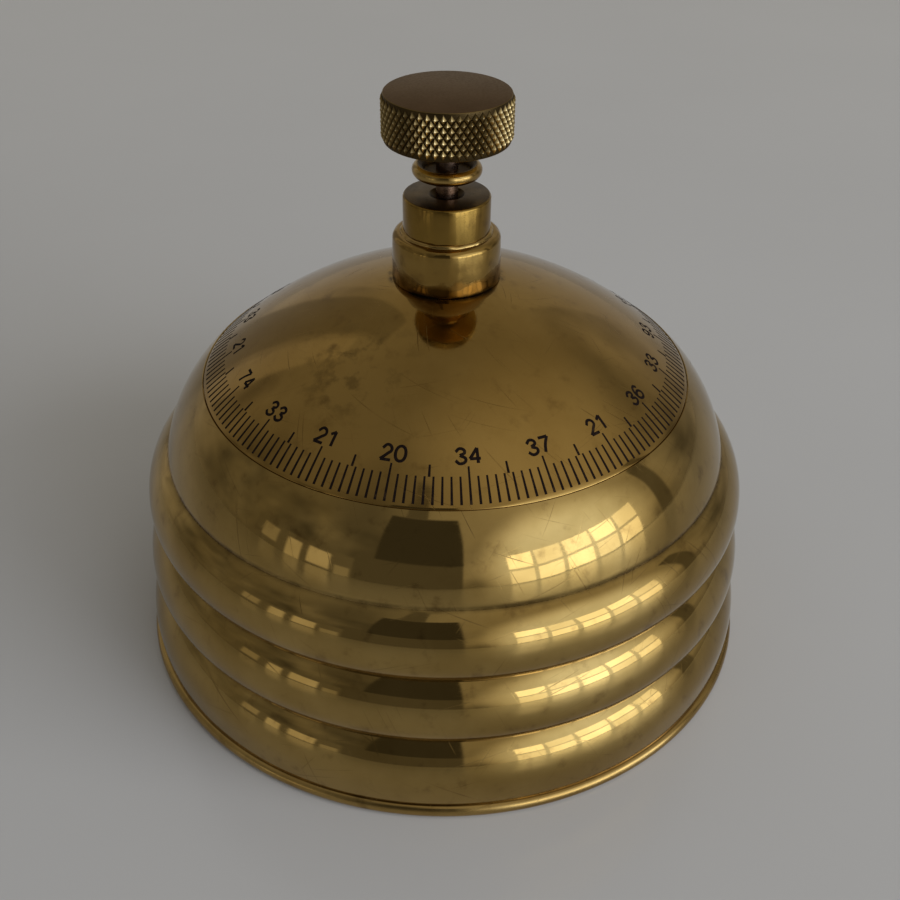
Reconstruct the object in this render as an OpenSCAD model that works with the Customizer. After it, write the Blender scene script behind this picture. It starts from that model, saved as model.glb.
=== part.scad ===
/* [Foot plate] */
// Radius of the rounded foot rim
foot_r = 50; // [49:0.25:54]
// Height of the foot rim
foot_h = 2; // [1.8:0.1:3.5]
// How far the foot rim's edge bulges past its top and bottom faces
foot_bulge = 0.6; // [0.3:0.1:1]
// Height of the plate's spigot inside the body
spigot_h = 4; // [3.5:0.5:8]
// Width of the flat ring under the plate that the weight stands on
foot_w = 10.5; // [10:0.5:14]
// Depth of the hollow in the plate's underside
hollow_h = 0.8; // [0.4:0.1:1]

/* [Ribbed body] */
// Number of ribs up the body
rib_count = 3; // [2:1:4]
// Height of one rib
rib_pitch = 11; // [10:0.25:13]
// How far the lowest rib stays inside the foot rim
rib_inset = 0.55; // [0.2:0.05:1.5]
// How much narrower each rib is than the one below it
rib_step = 0.9; // [0.5:0.1:1.2]
// Height of a rib's widest line above its lower edge
rib_belly = 3.8; // [3:0.1:5]
// How far a rib's lower edge comes in from its widest line
rib_tuck = 1.1; // [0.8:0.1:1.6]
// How far the lowest rib's lower edge comes in, just above the foot
foot_tuck = 0.2; // [0.1:0.05:0.6]
// Depth of the groove below a rib, measured from that rib
groove_depth = 2.4; // [1.8:0.1:2.5]
// Height of the flat floor in each groove
groove_w = 0.5; // [0.3:0.1:1]
// Width of the step from the top rib's widest line in to the shoulder
shoulder_step = 3.75; // [2.5:0.05:4]
// Height of the shoulder
shoulder_h = 11.6; // [10:0.1:13]
// How far the shoulder bulges past a straight cone
shoulder_bulge = 0.95; // [0.5:0.05:1.5]
// Thickness of the body's wall at the lowest rib
body_wall = 8.65; // [8:0.05:9.5]
// Radial width of the seat under the dial's rim
seat_w = 4.2; // [3.5:0.1:5]
// Depth of the seat below the shoulder's top edge
seat_depth = 1.9; // [1.6:0.1:2.5]
// Thickness of the seat
seat_h = 2.2; // [1.5:0.1:3]

/* [Dial] */
// Radius of the graduated dial
dial_r = 37; // [36:0.25:38]
// Height of the dial above its rim
dial_h = 15.2; // [14:0.1:17]
// How far the dial's dome bulges past a straight cone
dial_bulge = 1.85; // [1.2:0.05:2.6]
// Width of the flat land under the dial's rim
dial_land = 2.5; // [2:0.1:3]
// Radius of the flat boss under the dial's centre
boss_r = 14; // [11:0.5:16]
// Thickness of the dial at its centre
boss_h = 4.4; // [4:0.1:5.5]
// Gap round the dial's rim and under it
dial_gap = 0.3; // [0.25:0.05:0.4]
// Thickness of the felt dust ring under the dial's rim
dust_h = 0.3; // [0.2:0.05:0.3]
// Radial width of the felt dust ring
dust_w = 2.7; // [1.5:0.1:3]

/* [Collar and sleeve] */
// Radius of the collar at its foot
collar_r = 8.05; // [7.6:0.05:9]
// How much the collar narrows towards its top
collar_taper = 0.15; // [0:0.05:0.4]
// Height of the collar's side
collar_side_h = 6.3; // [5.5:0.1:8]
// Height of the rounded top of the collar
collar_crown_h = 0.9; // [0.5:0.1:1.5]
// How far the rounded top of the collar bulges past a straight cone
collar_bulge = 0.25; // [0.1:0.05:0.3]
// Radius of the sleeve
sleeve_r = 6.35; // [5.8:0.05:6.6]
// Height of the sleeve above the collar
sleeve_h = 5.6; // [4:0.1:8]
// Size of the bright chamfer round the sleeve's top
sleeve_chamfer = 0.35; // [0.2:0.05:0.6]
// Size of the soldered fillet where the sleeve meets the collar
solder = 0.45; // [0.3:0.05:0.6]
// Length of the sleeve's spigot inside the collar
sleeve_spigot = 1.9; // [1.2:0.1:2.5]
// Size of the countersink for the spindle in the sleeve's top
mouth = 0.9; // [0.4:0.1:1.2]
// Thickness of the felt packing round the spindle
packing_h = 1; // [0.6:0.1:1.5]

/* [Knob and spindle] */
// Radius of the knob over its knurl
knob_r = 9.3; // [8:0.1:11]
// Height of the knob
knob_h = 6.7; // [5:0.1:9]
// Number of knurl ridges in one direction round the knob
knurl_count = 52; // [36:2:60]
// Number of half diamonds up the knob
knurl_rows = 8; // [6:1:12]
// Depth of the knurl
knurl_depth = 0.38; // [0.2:0.02:0.5]
// Height of the plain chamfer at the knob's top and bottom
knob_chamfer = 0.35; // [0.2:0.05:0.6]
// Depth of the spindle's hole in the knob
knob_socket = 4; // [3:0.25:4.5]
// Length of spindle seen between the stop ring and the knob
neck_h = 3.4; // [3:0.1:6]
// Radius of the spindle
spindle_r = 1.6; // [1.4:0.05:2]
// Rise of the spindle's thread in one turn
thread_pitch = 0.5; // [0.4:0.05:0.55]
// Turns of the screw from rest down to its stop
turns_down = 4; // [2:0.5:4]
// Turns of the screw from rest up to its stop
turns_up = 6; // [2:0.5:6]
// Radius of the stop ring
ring_r = 5; // [4.4:0.1:6]
// Height of the stop ring's rounded rim
ring_h = 1.9; // [1.4:0.1:2.4]
// Height of the small hub under the stop ring's rim
ring_hub_h = 0.5; // [0.4:0.1:0.9]
// Width of the small hub outside the spindle
ring_hub_w = 0.9; // [0.6:0.1:1.2]
// Depth of the dish in the stop ring
dish_h = 1; // [0.5:0.1:1.2]
// Radial width of the dish's sloping wall
dish_slope = 0.9; // [0.4:0.1:1.2]

/* [Pivot inside] */
// Radius of the pillar's column
column_r = 6.5; // [5.5:0.25:7.5]
// Radius of the pillar's foot flange
flange_r = 13; // [11:0.5:16]
// Thickness of the pillar's foot flange
flange_h = 3; // [2:0.5:5]
// Radius of the pillar's head, which the dial turns on
head_r = 9.5; // [8.5:0.25:10]
// Thickness of the pillar's head
head_h = 3.5; // [2.5:0.25:5]
// Radius of the pillar's tip, which the screw clamps on
tip_r = 4.2; // [3.5:0.1:4.5]
// Height of the pillar's tip above its head
tip_h = 3; // [2:0.25:4]
// Thickness of the thrust washer on the pillar's head
thrust_h = 0.5; // [0.3:0.1:1]
// Wall of the hub outside the retaining ring
hub_wall = 2; // [1.5:0.25:2.5]
// Thickness of the hub's flange under the dial
hub_flange_h = 3; // [2:0.25:4]
// Thickness of the hub over the clamp pad's chamber
chamber_roof = 1.4; // [1:0.1:2]
// Radial width of the thread between hub and retaining ring
ring_seat = 2; // [1.5:0.25:3]
// Thickness of the retaining ring
retainer_h = 2.6; // [2:0.1:4]
// Radius of the two spanner holes in the retaining ring
spanner_r = 0.7; // [0.5:0.05:0.9]
// Depth of the two spanner holes
spanner_h = 1.2; // [0.8:0.1:1.6]
// Radius of the hub's threaded neck
neck_r = 4.5; // [4:0.1:5]
// Radius of the swivelling clamp pad
pad_r = 3.8; // [3:0.1:4.2]
// Thickness of the clamp pad
pad_h = 2.3; // [2:0.1:3]
// Radius of the spindle's end inside the clamp pad
pad_pin_r = 1; // [0.8:0.05:1.2]
// Thickness of the riveted end of the spindle
rivet_h = 0.7; // [0.5:0.1:0.9]
// Depth of the riveted end above the clamp pad's face
rivet_sunk = 0.35; // [0.3:0.05:0.5]

/* [Ballast and fastenings] */
// Room round the ballast inside the body
ballast_room = 1.2; // [0.4:0.1:4]
// Height of the ballast
ballast_h = 23; // [15:0.5:24]
// Radius of the washer on the ballast
ballast_washer_r = 11.5; // [10.5:0.5:16]
// Thickness of the washer on the ballast
ballast_washer_h = 1.2; // [0.8:0.1:2]
// Width of the ballast nut across its flats
ballast_nut_w = 19; // [18:0.5:24]
// Height of the ballast nut
ballast_nut_h = 4.5; // [3:0.5:5.5]
// Wall of the ballast between the pillar's flange and the adjusting chamber
plug_wall = 8; // [3:0.5:12]
// Radius of the adjusting plug
plug_r = 5; // [4:0.25:6]
// Width of the step that the seal lies on round the plug
seal_step = 1.2; // [0.8:0.1:2]
// Thickness of the seal
seal_h = 0.8; // [0.5:0.1:1]
// Depth of the seal below the plate's hollow
seal_sunk = 0.4; // [0.2:0.1:0.6]
// Height of the adjusting chamber inside the ballast
chamber_h = 14; // [6:0.5:15]
// Number of foot screws
screw_count = 4; // [3:1:6]
// Distance of the foot screws outside the body's bore
screw_inset = 3.6; // [3.4:0.1:4]
// Radius of a foot screw
screw_r = 1.5; // [1.25:0.25:1.75]
// Length of a foot screw
screw_l = 8.5; // [6:0.5:10]
// Depth of a foot screw's head below the plate's underside
screw_sunk = 0.15; // [0.1:0.05:0.3]
// Radius of the pillar screw
bolt_r = 2.5; // [2:0.25:3]
// Length of the pillar screw above the plate
bolt_l = 10; // [8:0.5:16]
// Radius of the pillar screw's head
bolt_head_r = 4.2; // [4:0.1:5]
// Thickness of the pillar screw's head
bolt_head_h = 2; // [1.4:0.1:2.2]
// Thickness of the washer under the pillar screw's head
bolt_washer_h = 0.7; // [0.4:0.1:0.8]
// Width of a screwdriver slot
slot_w = 0.8; // [0.5:0.1:1]
// Depth of a screwdriver slot
slot_h = 0.6; // [0.4:0.1:0.7]

/* [Fits] */
// Small chamfer on the edges of turned pieces
edge_break = 0.3; // [0.15:0.05:0.35]
// Room beyond the end of a screw in its blind hole
screw_room = 0.5; // [0.3:0.1:1]
// Radial clearance of a piece that turns on a journal
running = 0.05; // [0.03:0.01:0.08]
// Radial clearance of the spindle in the pieces that it passes through
spindle_gap = 0.06; // [0.03:0.01:0.1]
// Clearance of a piece that only passes near another
loose = 0.3; // [0.2:0.05:0.4]
// Gap left at each end of the screw's travel
stop_gap = 0.2; // [0.15:0.05:0.3]

/* [Hidden] */
$fn = 96;

POLISHED = "#b08d3c";
OLD_BRASS = "#8a6a2c";
DARK_BRASS = "#4a3826";
BRONZE = "#9a6548";
IRON = "#4b4b4d";
LEAD = "#7d7f83";
STEEL = "#9fa2a6";
FELT = "#3d4a33";

// Heights up the object, each counted from the one below it
plate_top = foot_h + spigot_h;
ribs_top = foot_h + rib_count * rib_pitch;
dial_z = ribs_top + shoulder_h;
collar_z = dial_z + dial_h;
collar_top = collar_z + collar_side_h + collar_crown_h;
sleeve_top = collar_top + sleeve_h;
screw_down = turns_down * thread_pitch;
screw_up = turns_up * thread_pitch;
ring_z = sleeve_top + screw_down + stop_gap;
ring_rim_z = ring_z + ring_hub_h;
knob_z = ring_rim_z + ring_h + neck_h;
knob_top = knob_z + knob_h;

// Inner heights, counted down from the dial's underside
boss_z = collar_z - boss_h;
ceiling_z = boss_z - chamber_roof;
pad_z = ceiling_z - stop_gap - screw_up - pad_h;
tip_top = pad_z - screw_down - stop_gap;
head_top = tip_top - tip_h;
head_z = head_top - head_h;
hub_z = head_z - running - retainer_h;

// Radii that several pieces share, counted in from the foot rim
rib_r = foot_r - rib_inset;
hollow_r = foot_r - foot_w;
bore_r = rib_r - body_wall;
shoulder_r = rib_r - (rib_count - 1) * rib_step - shoulder_step;
ballast_r = bore_r - ballast_room;
screw_at = bore_r + screw_inset;
plug_at = flange_r + plug_wall + plug_r;
seat_r = dial_r + dial_gap;
seat_inner_r = seat_r - seat_w;
seat_z = dial_z - seat_depth;
rim_z = seat_z + dust_h + dial_gap;
hub_bore_r = head_r + running;
retainer_r = hub_bore_r + ring_seat;
hub_r = retainer_r + hub_wall;
spindle_hole_r = spindle_r + spindle_gap;
screw_head_r = 2 * screw_r;
bolt_seat_z = hollow_h + bolt_head_h + bolt_washer_h;
seal_z = hollow_h + seal_sunk;
through = 1;

// Widest radius and lower edge of one rib, counted from the lowest
function rib_radius(i) = rib_r - i * rib_step;
function rib_base(i) = foot_h + i * rib_pitch;
function groove_radius(i) = rib_radius(i) - groove_depth;

function backwards(points) = [for (i = [len(points) - 1 : -1 : 0]) points[i]];

// Circular arc from a to b that stands proud of the straight line, to the right of the way it runs
function bow(a, b, proud, steps = 12) =
    let (
        chord = b - a,
        span = norm(chord),
        radius = (span * span / 4 + proud * proud) / (2 * proud),
        side = [chord[1], -chord[0]] / span,
        centre = (a + b) / 2 + side * (proud - radius),
        start = atan2(a[1] - centre[1], a[0] - centre[0]),
        sweep = 2 * asin(span / 2 / radius)
    )
    [for (i = [0 : steps])
        centre + abs(radius) * [cos(start + sweep * i / steps), sin(start + sweep * i / steps)]];

// Circular arc that leaves the widest point of a rib straight up or down and ends at the given point
function flank(widest, end, steps = 9) =
    let (
        inward = widest[0] - end[0],
        upward = end[1] - widest[1],
        radius = (inward * inward + upward * upward) / (2 * inward),
        sweep = asin(upward / radius)
    )
    [for (i = [1 : steps])
        [widest[0] - radius * (1 - cos(sweep * i / steps)), widest[1] + radius * sin(sweep * i / steps)]];

// Outer line of one rib from the groove under it, or the foot, to its upper edge
function rib_line(i) =
    let (
        widest = [rib_radius(i), rib_base(i) + rib_belly],
        groove_top = rib_base(i) + groove_w / 2,
        groove = i == 0 ? [] : [[groove_radius(i), groove_top]],
        low = i == 0
            ? [rib_radius(0) - foot_tuck, foot_h]
            : [rib_radius(i) - rib_tuck, groove_top],
        high = i == rib_count - 1
            ? [shoulder_r, ribs_top - groove_w / 2]
            : [groove_radius(i + 1), rib_base(i + 1) - groove_w / 2]
    )
    concat(groove, backwards(flank(widest, low)), [widest], flank(widest, high));

module turned(points) {
    rotate_extrude() polygon(points);
}

module around(count, radius, first = 45) {
    for (i = [0 : count - 1]) {
        rotate([0, 0, first + i * 360 / count]) translate([radius, 0, 0]) children();
    }
}

module slot_cut(length) {
    translate([-length / 2, -slot_w / 2, -through]) cube([length, slot_w, slot_h + through]);
}

// Countersunk head and shank as one turned shape, used for the screw and for its seat
module screw_shape(shank_r) {
    land_z = 2 * screw_sunk;
    neck_z = land_z + screw_head_r - screw_r;
    turned([
        [0, screw_sunk], [screw_head_r, screw_sunk], [screw_head_r, land_z], [screw_r, neck_z],
        [shank_r, neck_z], [shank_r, screw_l], [0, screw_l]
    ]);
}

// Foot plate with the rounded rim, the spigot and the holes from below
module base_plate() {
    edge = bow([foot_r - foot_bulge, 0], [foot_r - foot_bulge, foot_h], foot_bulge, 8);
    spigot_r = bore_r - loose / 2;
    color(OLD_BRASS) difference() {
        turned(concat(
            [[0, hollow_h], [hollow_r, hollow_h], [hollow_r, 0]],
            edge,
            [[spigot_r, foot_h], [spigot_r, plate_top], [0, plate_top]]
        ));
        translate([0, 0, -through]) cylinder(r = bolt_head_r + loose, h = bolt_seat_z + through);
        cylinder(r = bolt_r + loose, h = plate_top + through);
        translate([plug_at, 0, 0]) {
            translate([0, 0, -through]) cylinder(r = plug_r + seal_step, h = seal_z + seal_h + through);
            cylinder(r = plug_r, h = plate_top + through);
        }
        around(screw_count, screw_at) {
            screw_shape(screw_r + loose / 2);
            translate([0, 0, -through]) cylinder(r = screw_head_r, h = 2 * screw_sunk + through);
        }
    }
}

module base_screws() {
    color(STEEL) around(screw_count, screw_at) difference() {
        screw_shape(screw_r);
        translate([0, 0, screw_sunk]) slot_cut(2 * screw_head_r + through);
    }
}

// Body turned from one casting: three ribs, the shoulder and the seat for the dial
module ribbed_body() {
    outside = concat(
        [for (i = [0 : rib_count - 1]) each rib_line(i)],
        bow([shoulder_r, ribs_top + groove_w / 2], [seat_r, dial_z - dial_gap / 2], shoulder_bulge)
    );
    inside = bow([seat_inner_r, seat_z - seat_h], [bore_r, ribs_top - seat_h], -shoulder_bulge);
    color(POLISHED) difference() {
        turned(concat(
            outside,
            [[seat_r, seat_z], [seat_inner_r, seat_z]],
            inside,
            [[bore_r, foot_h]]
        ));
        around(screw_count, screw_at) cylinder(r = screw_r, h = screw_l + screw_room);
    }
}

module dust_ring() {
    outer_r = seat_r - 2 * dial_gap;
    color(FELT) translate([0, 0, seat_z]) difference() {
        cylinder(r = outer_r, h = dust_h);
        translate([0, 0, -through]) cylinder(r = outer_r - dust_w, h = dust_h + 2 * through);
    }
}

// Ballast ring that stands on the foot plate round the pillar, with the adjusting chamber in it
module ballast() {
    draft = 3 * edge_break;
    top = plate_top + ballast_h;
    step = plate_top + flange_h + loose;
    color(IRON) difference() {
        turned([
            [flange_r + loose, plate_top], [ballast_r - draft, plate_top], [ballast_r, plate_top + draft],
            [ballast_r, top - draft], [ballast_r - draft, top], [column_r + loose, top],
            [column_r + loose, step], [flange_r + loose, step]
        ]);
        translate([plug_at, 0, plate_top - through]) cylinder(r = plug_r, h = chamber_h + through);
    }
}

module ballast_washer() {
    color(STEEL) translate([0, 0, plate_top + ballast_h]) difference() {
        cylinder(r = ballast_washer_r, h = ballast_washer_h);
        translate([0, 0, -through]) cylinder(r = column_r + running, h = ballast_washer_h + 2 * through);
    }
}

module ballast_nut() {
    corner_r = ballast_nut_w / 2 / cos(30);
    z = plate_top + ballast_h + ballast_washer_h;
    color(STEEL) difference() {
        translate([0, 0, z]) cylinder(r = corner_r, h = ballast_nut_h, $fn = 6);
        translate([0, 0, z - through]) cylinder(r = column_r, h = ballast_nut_h + 2 * through);
    }
}

// Slotted plug that closes the adjusting chamber from below
module adjusting_plug() {
    z = seal_z + seal_h;
    color(OLD_BRASS) translate([plug_at, 0, z]) difference() {
        cylinder(r = plug_r, h = plate_top - z);
        slot_cut(2 * plug_r + through);
    }
}

module seal_disc() {
    color(LEAD) translate([plug_at, 0, seal_z]) cylinder(r = plug_r + seal_step, h = seal_h);
}

// Pillar: foot flange, column, the head that the dial turns on and the tip that the screw clamps on
module pillar() {
    color(OLD_BRASS) difference() {
        turned([
            [0, plate_top], [flange_r, plate_top], [flange_r, plate_top + flange_h],
            [column_r, plate_top + flange_h], [column_r, head_z], [head_r - edge_break, head_z],
            [head_r, head_z + edge_break], [head_r, head_top], [tip_r, head_top],
            [tip_r, tip_top - edge_break], [tip_r - edge_break, tip_top], [0, tip_top]
        ]);
        translate([0, 0, plate_top - through]) cylinder(r = bolt_r, h = bolt_l + screw_room + through);
    }
}

module pillar_screw() {
    color(STEEL) difference() {
        turned([
            [0, hollow_h], [bolt_head_r - edge_break, hollow_h], [bolt_head_r, hollow_h + edge_break],
            [bolt_head_r, hollow_h + bolt_head_h], [bolt_r, hollow_h + bolt_head_h],
            [bolt_r, plate_top + bolt_l], [0, plate_top + bolt_l]
        ]);
        translate([0, 0, hollow_h]) slot_cut(2 * bolt_head_r + through);
    }
}

module pillar_washer() {
    color(STEEL) translate([0, 0, hollow_h + bolt_head_h]) difference() {
        cylinder(r = bolt_head_r, h = bolt_washer_h);
        translate([0, 0, -through]) cylinder(r = bolt_r + running, h = bolt_washer_h + 2 * through);
    }
}

module thrust_washer() {
    color(BRONZE) translate([0, 0, head_top]) difference() {
        cylinder(r = head_r - edge_break, h = thrust_h);
        translate([0, 0, -through]) cylinder(r = tip_r + running, h = thrust_h + 2 * through);
    }
}

// Graduated dome, spot-faced under the collar and flat inside where the hub seats
module dial_cap() {
    spot_r = collar_r + edge_break;
    outside = bow([dial_r, dial_z], [spot_r, collar_z], dial_bulge, 18);
    inside = bow([boss_r, boss_z], [dial_r - dial_land, rim_z], -dial_bulge / 2);
    color(POLISHED) turned(concat(
        [[dial_r, rim_z]],
        outside,
        [[neck_r + running, collar_z], [neck_r + running, boss_z]],
        inside
    ));
}

// Hub under the dome: threaded neck, pad chamber, thrust face and the journal on the pillar's head
module dial_hub() {
    shoulder = head_top + thrust_h + running;
    chamber_r = tip_r + loose;
    flange_edge_r = boss_r - edge_break;
    flange_z = boss_z - hub_flange_h;
    neck_top = collar_top - sleeve_spigot - packing_h;
    color(OLD_BRASS) turned([
        [hub_r, hub_z], [hub_r, flange_z], [flange_edge_r, flange_z], [flange_edge_r, boss_z],
        [neck_r, boss_z], [neck_r, neck_top], [spindle_hole_r, neck_top], [spindle_hole_r, ceiling_z],
        [chamber_r, ceiling_z], [chamber_r, shoulder], [hub_bore_r, shoulder],
        [hub_bore_r, head_z - running], [retainer_r, head_z - running], [retainer_r, hub_z]
    ]);
}

// Ring that screws into the hub from below, with two holes for a spanner
module retaining_ring() {
    color(OLD_BRASS) translate([0, 0, hub_z]) difference() {
        cylinder(r = retainer_r, h = retainer_h);
        translate([0, 0, -through]) cylinder(r = column_r + loose, h = retainer_h + 2 * through);
        around(2, (column_r + retainer_r) / 2) {
            translate([0, 0, -through]) cylinder(r = spanner_r, h = spanner_h + through);
        }
    }
}

// Collar that screws onto the hub's neck and clamps the dome
module collar() {
    side_top = collar_z + collar_side_h;
    top_r = collar_r - collar_taper;
    crown = bow([top_r, side_top], [sleeve_r + solder, collar_top], collar_bulge, 6);
    color(OLD_BRASS) turned(concat(
        [[neck_r, collar_z], [collar_r - edge_break, collar_z], [collar_r, collar_z + edge_break]],
        crown,
        [[neck_r, collar_top]]
    ));
}

// Sleeve soldered into the collar, with a bright chamfer and a countersunk mouth for the spindle
module gland_sleeve() {
    spigot_z = collar_top - sleeve_spigot;
    bead = bow([sleeve_r + solder, collar_top], [sleeve_r, collar_top + solder], solder / 4, 5);
    color(OLD_BRASS) turned(concat(
        [[spindle_hole_r, spigot_z], [neck_r, spigot_z], [neck_r, collar_top]],
        bead,
        [[sleeve_r, sleeve_top - sleeve_chamfer], [sleeve_r - sleeve_chamfer, sleeve_top]],
        [[spindle_hole_r + mouth, sleeve_top], [spindle_hole_r, sleeve_top - mouth]]
    ));
}

module gland_packing() {
    z = collar_top - sleeve_spigot - packing_h;
    color(FELT) translate([0, 0, z]) difference() {
        cylinder(r = neck_r - running, h = packing_h);
        translate([0, 0, -through]) cylinder(r = spindle_hole_r, h = packing_h + 2 * through);
    }
}

// Pad that swivels on the riveted end of the spindle
module clamp_pad() {
    ledge_z = pad_z + rivet_sunk + rivet_h + running;
    rivet_room_r = spindle_r + loose;
    color(BRONZE) turned([
        [rivet_room_r, pad_z], [pad_r - edge_break, pad_z], [pad_r, pad_z + edge_break],
        [pad_r, pad_z + pad_h], [pad_pin_r + running, pad_z + pad_h],
        [pad_pin_r + running, ledge_z], [rivet_room_r, ledge_z]
    ]);
}

// Spindle with its riveted end, from the clamp pad up into the knob
module spindle() {
    rivet_z = pad_z + rivet_sunk;
    shoulder_z = pad_z + pad_h + running;
    end_z = knob_z + knob_socket;
    color(BRONZE) turned([
        [0, rivet_z], [spindle_r - edge_break, rivet_z], [spindle_r, rivet_z + edge_break],
        [spindle_r, rivet_z + rivet_h], [pad_pin_r, rivet_z + rivet_h], [pad_pin_r, shoulder_z],
        [spindle_r, shoulder_z], [spindle_r, end_z], [0, end_z]
    ]);
}

// Dished ring pressed onto the spindle; its hub meets the sleeve when the screw is down
module stop_ring() {
    rim_bulge = 0.45 * ring_h;
    bead_r = ring_r - rim_bulge;
    rim_top = ring_rim_z + ring_h;
    dish_z = rim_top - dish_h;
    rim = bow([bead_r, ring_rim_z], [bead_r, rim_top], rim_bulge, 12);
    slope = bow([bead_r, rim_top], [bead_r - dish_slope, dish_z], dish_slope / 6, 5);
    flare = bow([spindle_r + edge_break, ring_z], [spindle_r + ring_hub_w, ring_rim_z], -edge_break / 2, 5);
    color(OLD_BRASS) turned(concat(
        [[spindle_r, ring_z]],
        flare,
        rim,
        [for (i = [1 : len(slope) - 1]) slope[i]],
        [[spindle_r, dish_z]]
    ));
}

// Knob with a true diamond knurl: every other point of a lattice lies in a groove and the rest on a peak
module knob() {
    columns = 2 * knurl_count;
    low_r = knob_r - knurl_depth;
    face_r = low_r - knob_chamfer;
    knurl_z = knob_z + knob_chamfer;
    row_h = (knob_h - 2 * knob_chamfer) / knurl_rows;
    lattice = [for (row = [0 : knurl_rows]) [for (i = [0 : columns - 1])
        let (
            angle = i * 360 / columns,
            edge = row == 0 || row == knurl_rows,
            radius = !edge && (row + i) % 2 == 0 ? knob_r : low_r
        )
        [radius * cos(angle), radius * sin(angle), knurl_z + row * row_h]]];
    bottom = [for (i = [0 : columns - 1])
        [face_r * cos(i * 360 / columns), face_r * sin(i * 360 / columns), knob_z]];
    top = [for (i = [0 : columns - 1])
        [face_r * cos(i * 360 / columns), face_r * sin(i * 360 / columns), knob_top]];
    rings = concat([bottom], lattice, [top]);
    points = [for (ring = rings) each ring];
    last = len(rings) - 1;
    sides = [for (row = [0 : last - 1]) for (i = [0 : columns - 1])
        let (
            a = row * columns + i,
            b = row * columns + (i + 1) % columns,
            c = a + columns,
            d = b + columns,
            peak_at_a = (row - 1 + i) % 2 == 0
        )
        each (peak_at_a ? [[a, c, b], [b, c, d]] : [[a, c, d], [a, d, b]])];
    faces = concat(
        [[for (i = [0 : columns - 1]) i]],
        sides,
        [[for (i = [columns - 1 : -1 : 0]) last * columns + i]]
    );
    color(DARK_BRASS) difference() {
        polyhedron(points = points, faces = faces);
        translate([0, 0, knob_z - through]) cylinder(r = spindle_r, h = knob_socket + through);
    }
}

base_plate();
base_screws();
ribbed_body();
dust_ring();
ballast();
ballast_washer();
ballast_nut();
adjusting_plug();
seal_disc();
pillar();
pillar_screw();
pillar_washer();
thrust_washer();
dial_cap();
dial_hub();
retaining_ring();
collar();
gland_sleeve();
gland_packing();
clamp_pad();
spindle();
stop_ring();
knob();
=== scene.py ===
import bmesh
import bpy
from math import asin, atan2, cos, hypot, pi, radians, sin, sqrt
from mathutils import Matrix, Vector, noise


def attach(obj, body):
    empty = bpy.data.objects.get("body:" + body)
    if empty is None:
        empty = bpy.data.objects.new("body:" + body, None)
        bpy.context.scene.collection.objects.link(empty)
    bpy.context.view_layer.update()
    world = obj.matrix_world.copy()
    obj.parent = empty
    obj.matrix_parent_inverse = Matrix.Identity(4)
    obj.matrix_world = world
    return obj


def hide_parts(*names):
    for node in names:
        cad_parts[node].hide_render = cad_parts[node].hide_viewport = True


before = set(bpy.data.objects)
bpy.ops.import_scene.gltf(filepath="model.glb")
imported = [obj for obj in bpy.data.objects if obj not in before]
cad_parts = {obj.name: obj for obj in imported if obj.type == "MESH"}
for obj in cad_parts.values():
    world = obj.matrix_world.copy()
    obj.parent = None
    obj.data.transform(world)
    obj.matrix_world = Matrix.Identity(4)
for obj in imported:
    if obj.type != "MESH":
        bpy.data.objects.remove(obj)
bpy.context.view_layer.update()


# Camera. A normal lens held by hand in front of the weight and above it, looking down by 35 degrees and
# leaning over by half a degree.
camera_place = (0.00083, -0.16103, 0.14269)
camera_pitch = radians(55)
camera_roll = radians(0.62)
camera_data = bpy.data.cameras.new("camera")
camera_data.lens = 48
camera_data.sensor_width = 36
camera_data.clip_start = 0.01
camera = bpy.data.objects.new("camera", camera_data)
lean = Matrix.Rotation(camera_pitch, 4, "X") @ Matrix.Rotation(camera_roll, 4, "Z")
camera.matrix_world = Matrix.Translation(camera_place) @ lean
bpy.context.scene.collection.objects.link(camera)
bpy.context.scene.camera = camera
bpy.context.scene.view_settings.view_transform = "Standard"


# Studio. A dim warm room, a little lighter overhead and at the back, with a low wide window of ten panes on
# the right and its glow on the walls. Dark and pale screens stand round it, darkest behind the camera.
def add(tree, kind, inputs=None, **options):
    """Adds a node, sets its options, and gives each input a value or the socket that feeds it."""
    node = tree.nodes.new(kind)
    for key, value in options.items():
        setattr(node, key, value)
    for key, value in (inputs or {}).items():
        if isinstance(value, bpy.types.NodeSocket):
            tree.links.new(value, node.inputs[key])
        else:
            node.inputs[key].default_value = value
    return node


def spread(tree, value, low, high, start=0.0, end=1.0):
    """Maps a value between low and high smoothly to a range from start to end."""
    inputs = {"Value": value, "From Min": low, "From Max": high, "To Min": start, "To Max": end}
    return add(tree, "ShaderNodeMapRange", inputs, interpolation_type="SMOOTHSTEP").outputs["Result"]


def combine(tree, operation, first, second):
    """Works out one sum of two values or sockets."""
    return add(tree, "ShaderNodeMath", {0: first, 1: second}, operation=operation).outputs[0]


def aim(around, above):
    """Direction from the weight to a place in the room: degrees round from the front, and up."""
    around = radians(around)
    above = radians(above)
    return Vector((sin(around) * cos(above), -cos(around) * cos(above), sin(above)))


def near(tree, direction, around, above, outer, inner, start, end):
    """Changes smoothly from start, outside a cone round a place, to end, inside a narrower one."""
    inputs = {0: direction, 1: aim(around, above)}
    facing = add(tree, "ShaderNodeVectorMath", inputs, operation="DOT_PRODUCT").outputs["Value"]
    return spread(tree, facing, cos(radians(outer)), cos(radians(inner)), start, end)


def between(tree, value, low, high, edge):
    """One between two limits and nothing beyond them, with soft edges."""
    risen = spread(tree, value, low - edge, low + edge)
    not_fallen = spread(tree, value, high - edge, high + edge, start=1.0, end=0.0)
    return combine(tree, "MULTIPLY", risen, not_fallen)


wall_level = 0.21
ceiling_level = 0.27
blotch_scale = 3.2
blotch_depth = 2.6
back_glow = 0.13
corner_shade = 0.55
window_glow = 1.15
ceiling_glow = 0.32
warm_light = (1.0, 0.95, 0.85, 1)
cool_light = (0.94, 1.04, 1.25, 1)

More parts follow.
